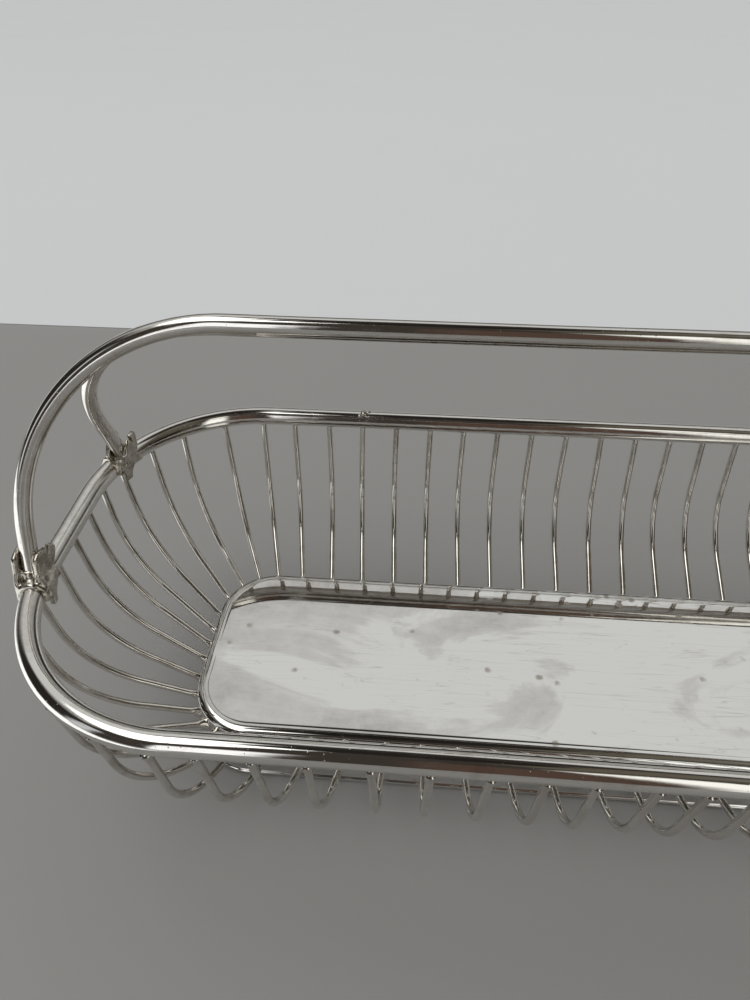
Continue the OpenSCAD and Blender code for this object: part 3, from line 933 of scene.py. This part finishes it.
# ---------------------------------------------------------------- stage
def plain(name, colour, rough, glow=0.0):
    """Matt, faintly uneven surface of a floor or a card, which may glow a little."""
    n = Nodes(name)
    vec = n.space("Object")
    tone = n.noise(vec, 3.0, detail=2.0)
    col = n.mix(n.remap(tone, 0.3, 0.7, 0.0, 1.0), colour, tuple(c * 0.97 for c in colour))
    r = n.remap(n.noise(vec, 12.0), 0.3, 0.7, rough - 0.04, rough + 0.04)
    n.bsdf.inputs["Emission Color"].default_value = (0.98, 1.0, 1.0, 1)
    n.bsdf.inputs["Emission Strength"].default_value = glow
    return n.done(col, r, None, metallic=0.0)


def one_sided(name, colour, rough, glow):
    """The same, but clear when seen from behind."""
    material = plain(name, colour, rough, glow)
    nodes, links = material.node_tree.nodes, material.node_tree.links
    both = nodes.new("ShaderNodeMixShader")
    links.new(nodes.new("ShaderNodeNewGeometry").outputs["Backfacing"], both.inputs[0])
    links.new(nodes["Principled BSDF"].outputs[0], both.inputs[1])
    links.new(nodes.new("ShaderNodeBsdfTransparent").outputs[0], both.inputs[2])
    links.new(both.outputs[0], nodes["Material Output"].inputs[0])
    return material


def sheet(name, x0, x1, y0, y1, z, material):
    """A flat stage sheet at height z, in metres."""
    mesh = bpy.data.meshes.new(name)
    mesh.from_pydata([(x0, y0, z), (x1, y0, z), (x1, y1, z), (x0, y1, z)], [], [(0, 1, 2, 3)])
    obj = bpy.data.objects.new(name, mesh)
    bpy.context.scene.collection.objects.link(obj)
    mesh.materials.append(material)
    return obj


floor_grey = plain("floor_grey", (0.33, 0.325, 0.317), 0.5)
floor_pale = plain("floor_pale", (0.16, 0.16, 0.165), 0.8, 0.44)
sheet("floor", -3.0, 3.0, -3.0, 3.0, -0.0002, floor_grey)
sheet("floor_back", -3.0, 3.0, 0.245, 3.0, 0.0004, floor_pale)

# a pale card on the floor, left of the tray, seen only in the metal
card_pale = one_sided("card_pale", (0.2, 0.2, 0.2), 0.8, 1.1)
card = sheet("card_left", -0.9, -0.24, -0.45, 0.06, 0.0006, card_pale)
card.visible_camera = card.visible_diffuse = card.visible_shadow = False


# ---------------------------------------------------------------- world
world = bpy.data.worlds.new("studio")
bpy.context.scene.world = world
world.use_nodes = True
wt = world.node_tree
wt.nodes.clear()


def wn(kind, **props):
    n = wt.nodes.new(kind)
    for k, v in props.items():
        setattr(n, k, v)
    return n


def wmath(op, a, b=None):
    n = wn("ShaderNodeMath", operation=op)
    for k, v in enumerate((a, b)):
        if v is None:
            continue
        if isinstance(v, (int, float)):
            n.inputs[k].default_value = v
        else:
            wt.links.new(v, n.inputs[k])
    return n.outputs[0]


wcoord = wn("ShaderNodeTexCoord")
wsep = wn("ShaderNodeSeparateXYZ")
wt.links.new(wcoord.outputs["Generated"], wsep.inputs[0])
to_x, to_y, to_z = wsep.outputs


def wband(value, lo, hi, soft_w):
    """1 while value is between lo and hi."""
    out = None
    for edge, sign in ((lo, 1), (hi, -1)):
        m = wn("ShaderNodeMapRange", interpolation_type="SMOOTHSTEP")
        m.inputs["From Min"].default_value = edge - soft_w
        m.inputs["From Max"].default_value = edge + soft_w
        if sign < 0:
            m.inputs["To Min"].default_value, m.inputs["To Max"].default_value = 1.0, 0.0
        wt.links.new(value, m.inputs["Value"])
        out = m.outputs[0] if out is None else wmath("MULTIPLY", out, m.outputs[0])
    return out


def wmix(fac, a, b):
    n = wn("ShaderNodeMix", data_type="RGBA")
    for key, v in ((0, fac), (6, a), (7, b)):
        if isinstance(v, (int, float)):
            n.inputs[key].default_value = v
        elif isinstance(v, tuple):
            n.inputs[key].default_value = (*v, 1)
        else:
            wt.links.new(v, n.inputs[key])
    return n.outputs[2]


# degrees: azimuth 0 is behind the tray, 90 its right end, 180 in front of it
AZIMUTH = wmath("DEGREES", wmath("ARCTAN2", to_x, to_y))
ELEVATION = wmath("DEGREES", wmath("ARCSINE", to_z))
SIDEWAYS = wmath("ABSOLUTE", AZIMUTH)


def wpatch(turn, az_lo, az_hi, az_soft, el_lo, el_hi, el_soft):
    """1 inside a window of directions; turn is AZIMUTH or SIDEWAYS."""
    return wmath("MULTIPLY", wband(turn, az_lo, az_hi, az_soft), wband(ELEVATION, el_lo, el_hi, el_soft))


# the room round the tray, each patch laid over the ones before it:
# turn, azimuth from, to, softness, elevation from, to, softness, colour
ROOM = (
    (SIDEWAYS, 114, 400, 8, -90, 90, 8, (0.045, 0.038, 0.032)),  # dark room in front
    (SIDEWAYS, -400, 80, 12, 60, 90, 2, (0.035, 0.031, 0.027)),  # dark ceiling behind
    (SIDEWAYS, -400, 75, 14, 36, 60, 3, (0.62, 0.62, 0.61)),  # pale wall behind
    (AZIMUTH, -115, 60, 8, -4, 17, 3, (0.030, 0.027, 0.023)),
    (AZIMUTH, 84, 132, 5, -90, 66, 8, (0.10, 0.092, 0.070)),
    (AZIMUTH, 92, 126, 8, -8, 32, 9, (0.020, 0.015, 0.011)),
    (AZIMUTH, -132, -68, 8, 6, 44, 6, (0.022, 0.019, 0.017)),
    (AZIMUTH, 160, 180, 5, -20, 52, 6, (0.085, 0.055, 0.042)),
    (AZIMUTH, 60, 152, 10, 66, 90, 5, (0.12, 0.105, 0.080)),
    (SIDEWAYS, -400, 400, 1, 77, 120, 2, (0.018, 0.016, 0.014)),  # straight above
    (AZIMUTH, -150, -48, 5, 54, 76, 2.5, (2.4, 2.4, 2.35)),  # high window on the left
    (AZIMUTH, -169, -156, 2, -90, 36, 4, (1.2, 1.2, 1.22)),  # window in front
    (AZIMUTH, -129, -117, 3, -20, 33, 5, (0.62, 0.64, 0.66)),
    (AZIMUTH, 142, 158, 3, -90, 58, 4, (1.15, 1.15, 1.1)),  # window at the front right
)
room = (0.33, 0.325, 0.31)
for turn, *window, colour in ROOM:
    room = wmix(wpatch(turn, *window), room, colour)
# the metal reflects the room; the floor and the camera see an even grey
light_path = wn("ShaderNodeLightPath")
shown = wmix(light_path.outputs["Is Diffuse Ray"], room, (0.46, 0.46, 0.455))
shown = wmix(light_path.outputs["Is Camera Ray"], shown, (0.46, 0.47, 0.475))
background = wn("ShaderNodeBackground")
wt.links.new(shown, background.inputs["Color"])
background.inputs["Strength"].default_value = 1.0
wout = wn("ShaderNodeOutputWorld")
wt.links.new(background.outputs[0], wout.inputs[0])


# ---------------------------------------------------------------- lights
def area(name, at, aim, size, power, colour):
    """Rectangular soft light, kept out of the reflections."""
    data = bpy.data.lights.new(name, "AREA")
    data.shape, data.size, data.size_y = "RECTANGLE", size[0], size[1]
    data.energy, data.color = power, colour
    obj = bpy.data.objects.new(name, data)
    bpy.context.scene.collection.objects.link(obj)
    obj.visible_glossy = False
    obj.location = at
    obj.rotation_mode = "QUATERNION"
    obj.rotation_quaternion = (Vector(aim) - Vector(at)).to_track_quat("-Z", "Y")


area("soft_top", (-0.15, 0.55, 1.25), (-0.02, 0.0, 0.03), (1.6, 1.0), 3.6, (1.0, 0.99, 0.97))
area("soft_left", (-1.1, 0.15, 0.75), (0, 0, 0.05), (0.9, 0.9), 1.8, (1.0, 1.0, 1.0))

# ---------------------------------------------------------------- camera
SENSOR, FOCAL = 36.0, 26.37  # mm
EYE = (-0.0728, -0.1466, 0.2056)
LOOK = (-0.0597, 0.7625, -0.6443)

cam_data = bpy.data.cameras.new("camera")
cam_data.sensor_fit = "VERTICAL"
cam_data.sensor_width = cam_data.sensor_height = SENSOR
cam_data.lens = FOCAL
cam_data.clip_start, cam_data.clip_end = 0.01, 20.0
cam = bpy.data.objects.new("camera", cam_data)
bpy.context.scene.collection.objects.link(cam)
forward = Vector(LOOK).normalized()
right = forward.cross(Vector((0, 0, 1))).normalized()
upward = right.cross(forward)
cam.matrix_world = Matrix((
    (right.x, upward.x, -forward.x, EYE[0]),
    (right.y, upward.y, -forward.y, EYE[1]),
    (right.z, upward.z, -forward.z, EYE[2]),
    (0, 0, 0, 1),
))
bpy.context.scene.camera = cam
bpy.context.scene.view_settings.view_transform = "Standard"
bpy.context.scene.view_settings.look = "None"

bpy.context.view_layer.update()
